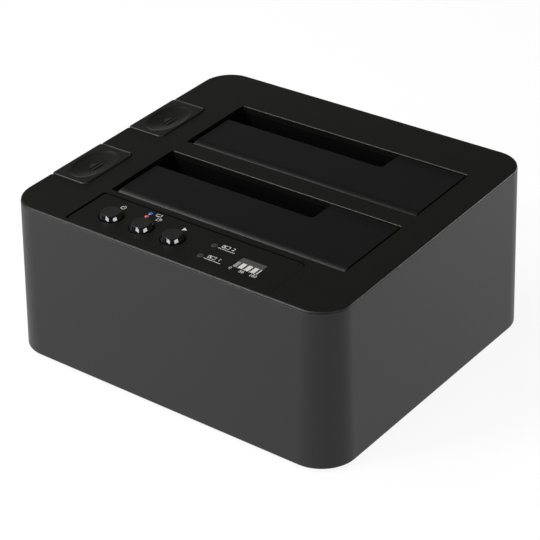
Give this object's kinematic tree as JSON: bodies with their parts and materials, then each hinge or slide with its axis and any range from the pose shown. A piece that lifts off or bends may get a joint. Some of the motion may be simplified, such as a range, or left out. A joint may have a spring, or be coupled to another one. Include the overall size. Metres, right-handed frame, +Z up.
{
  "type": "hard drive docking station",
  "caption": "Upright two-bay dock for bare drives: drafted sleeve, sloping black top, sprung notched flaps, eject keys with rockers and a control strip.",
  "frame": {"origin": "middle of the footprint, on the surface that the feet stand on", "axes": "+X to the right along the front, +Y from the front to the rear, +Z up"},
  "size_m": [0.1466, 0.131, 0.0676],
  "materials": {
    "sleeve_paint": "satin dark grey paint on a moulded shell",
    "top_black": "fine matte texture",
    "strip_black": "fine matte texture with printed marks",
    "base_black": "moulded, matte",
    "foot_rubber": "soft rubber",
    "screw_steel": "zinc plated",
    "bay_black": "moulded, matte",
    "door_black": "fine matte texture, polished hinge edge",
    "pin_steel": "ground",
    "spring_steel": "drawn wire",
    "key_black": "smooth matte",
    "lever_white": "natural acetal",
    "button_gloss": "polished side, matte face",
    "lens_clear": "tinted light pipe",
    "lens_blue": "tinted light pipe",
    "lens_red": "tinted light pipe",
    "window_smoke": "smoked window",
    "board_green": "solder mask",
    "connector_black": "moulded",
    "led_white": "clear epoxy",
    "chip_black": "moulded",
    "capacitor_sleeve": "shrunk sleeve",
    "inductor_grey": "ferrite",
    "port_steel": "nickel plated",
    "ribbon_white": "flat cable",
    "socket_cream": "moulded"
  },
  "bodies": {
    "housing": {"sleeve": "sleeve_paint", "top_panel": "top_black", "control_panel": "strip_black", "base_cover": "base_black", "rubber_feet": "foot_rubber", "base_screws": "screw_steel", "front_bay": "bay_black", "rear_bay": "bay_black", "front_door_pin": "pin_steel", "rear_door_pin": "pin_steel", "front_door_spring": "spring_steel", "rear_door_spring": "spring_steel", "front_eject_spring": "spring_steel", "rear_eject_spring": "spring_steel", "front_lever_pin": "pin_steel", "rear_lever_pin": "pin_steel", "drive_light_lenses": "lens_clear", "computer_light_lens": "lens_blue", "copy_light_lens": "lens_red", "progress_window": "window_smoke", "control_board": "board_green", "control_switches": "connector_black", "indicator_leds": "led_white", "control_board_screws": "screw_steel", "main_board": "board_green", "front_sata_connector": "connector_black", "rear_sata_connector": "connector_black", "bridge_chip": "chip_black", "capacitors": "capacitor_sleeve", "inductors": "inductor_grey", "usb_port": "port_steel", "dc_jack": "connector_black", "board_screws": "screw_steel", "ribbon_cable": "ribbon_white", "cable_connectors": "socket_cream"},
    "front_flap": {"front_door": "door_black"},
    "rear_flap": {"rear_door": "door_black"},
    "front_eject_key": {"front_eject_button": "key_black"},
    "rear_eject_key": {"rear_eject_button": "key_black"},
    "front_rocker": {"front_eject_lever": "lever_white"},
    "rear_rocker": {"rear_eject_lever": "lever_white"},
    "power_key": {"power_button": "button_gloss"},
    "mode_key": {"mode_button": "button_gloss"},
    "start_key": {"start_button": "button_gloss"}
  },
  "joints": [
    {"name": "front_flap_hinge", "type": "hinge", "parent": "housing", "child": "front_flap", "pos_m": [0.007, -0.03426, 0.06079], "axis": [-1, 0, 0], "range_deg": [0, 86], "stiffness_Nm_per_rad": 0.02, "springref_deg": -34.38, "deforming": ["front_door_spring"]},
    {"name": "rear_flap_hinge", "type": "hinge", "parent": "housing", "child": "rear_flap", "pos_m": [0.007, 0.00921, 0.06258], "axis": [-1, 0, 0], "range_deg": [0, 86], "stiffness_Nm_per_rad": 0.02, "springref_deg": -34.38, "deforming": ["rear_door_spring"]},
    {"name": "front_eject_slide", "type": "slide", "parent": "housing", "child": "front_eject_key", "axis": [0, 0, -1], "range_m": [0, 0.004], "stiffness_N_per_m": 250, "springref_m": -0.003, "deforming": ["front_eject_spring"]},
    {"name": "front_rocker_hinge", "type": "hinge", "parent": "housing", "child": "front_rocker", "pos_m": [-0.052, -0.0261, 0.017], "axis": [0, -1, 0], "range_deg": [0, 22.53]},
    {"name": "rear_eject_slide", "type": "slide", "parent": "housing", "child": "rear_eject_key", "axis": [0, 0, -1], "range_m": [0, 0.004], "stiffness_N_per_m": 250, "springref_m": -0.003, "deforming": ["rear_eject_spring"]},
    {"name": "rear_rocker_hinge", "type": "hinge", "parent": "housing", "child": "rear_rocker", "pos_m": [-0.052, 0.0174, 0.017], "axis": [0, -1, 0], "range_deg": [0, 22.53]},
    {"name": "power_press", "type": "slide", "parent": "housing", "child": "power_key", "axis": [0, 0.041, -0.9992], "range_m": [0, 0.0005], "stiffness_N_per_m": 1500, "springref_m": -0.0005},
    {"name": "mode_press", "type": "slide", "parent": "housing", "child": "mode_key", "axis": [0, 0.041, -0.9992], "range_m": [0, 0.0005], "stiffness_N_per_m": 1500, "springref_m": -0.0005},
    {"name": "start_press", "type": "slide", "parent": "housing", "child": "start_key", "axis": [0, 0.041, -0.9992], "range_m": [0, 0.0005], "stiffness_N_per_m": 1500, "springref_m": -0.0005}
  ],
  "couplings": [
    {"joint": "front_rocker_hinge", "follows": "front_eject_slide", "rad_per_m": 97.418},
    {"joint": "rear_rocker_hinge", "follows": "rear_eject_slide", "rad_per_m": 97.418}
  ]
}
